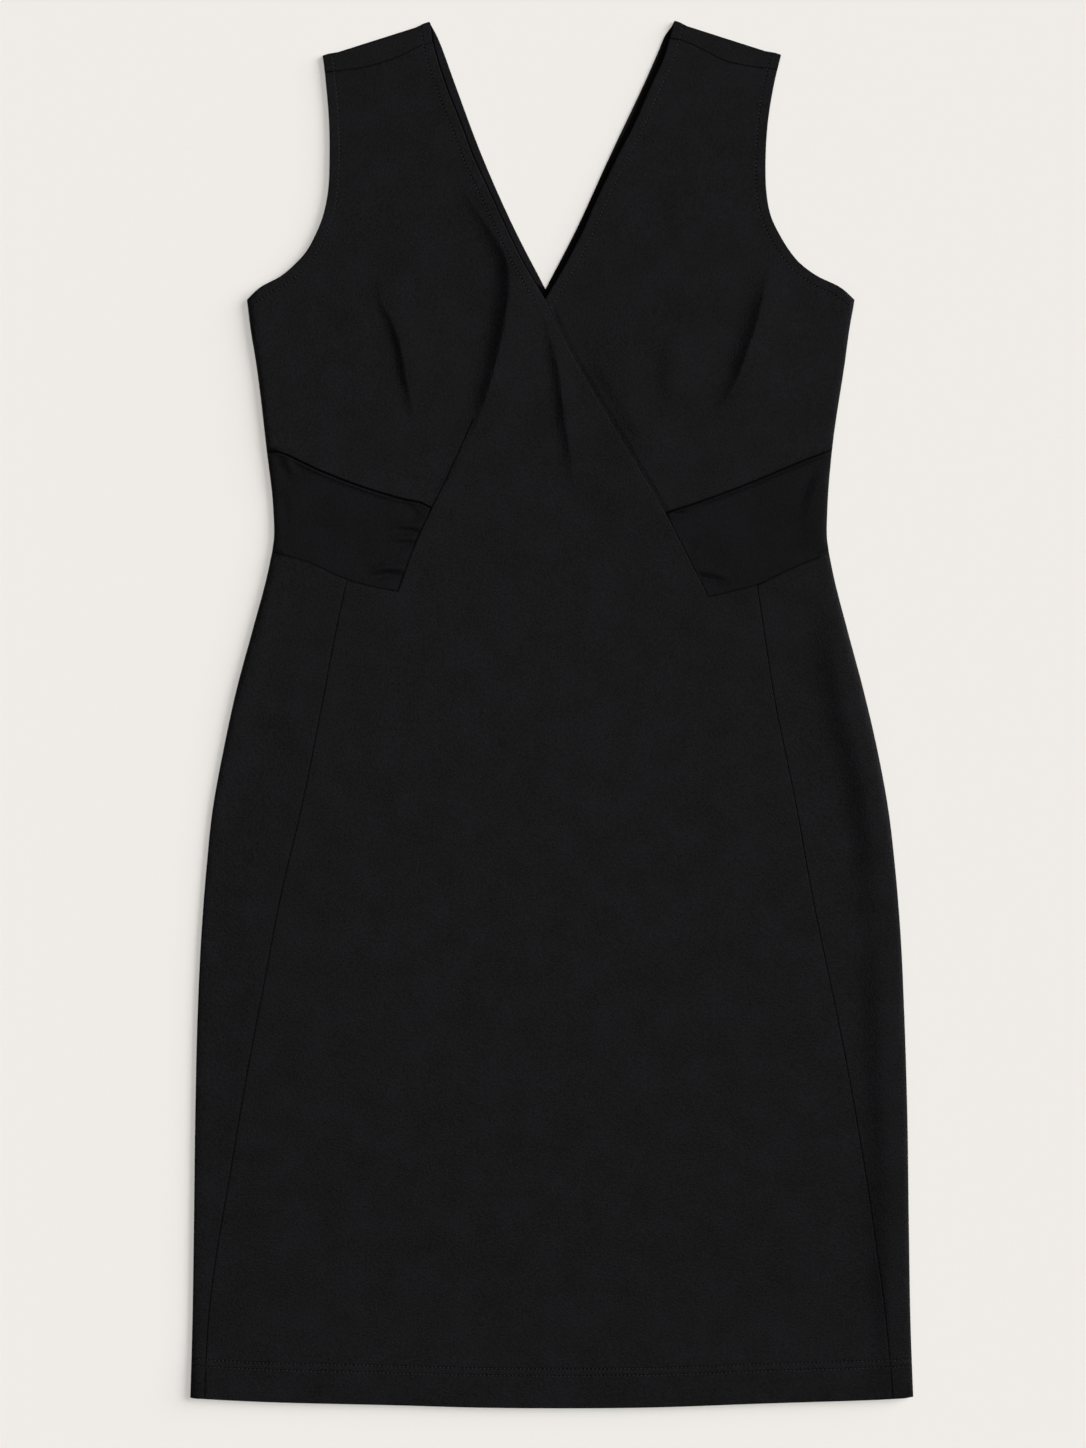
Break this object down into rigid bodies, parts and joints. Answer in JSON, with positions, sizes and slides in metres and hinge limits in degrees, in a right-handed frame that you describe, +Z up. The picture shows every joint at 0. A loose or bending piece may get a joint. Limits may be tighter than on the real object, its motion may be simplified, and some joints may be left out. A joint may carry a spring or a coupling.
{
  "type": "bodycon dress",
  "caption": "Sleeveless knee-length sheath dress laid flat, with a faux-wrap V neck, waist insets, long princess seams and a wide turned hem.",
  "frame": {"origin": "on the surface that the dress lies on, under the middle of its length and width", "axes": "+X towards the wearer's left, +Y from the hem to the neck, +Z up from the surface out of the front"},
  "size_m": [0.5213, 0.9999, 0.0059],
  "materials": {
    "knit": "matte firm knit, black",
    "inset_knit": "smoother firm knit, black",
    "thread": "matte sewing thread, black"
  },
  "bodies": {
    "root": {"back_panel": "knit", "wrap_front": "knit", "under_bodice": "knit", "waist_inset_right": "inset_knit", "waist_inset_left": "inset_knit", "side_front_right": "knit", "side_front_left": "knit"}
  },
  "joints": []
}
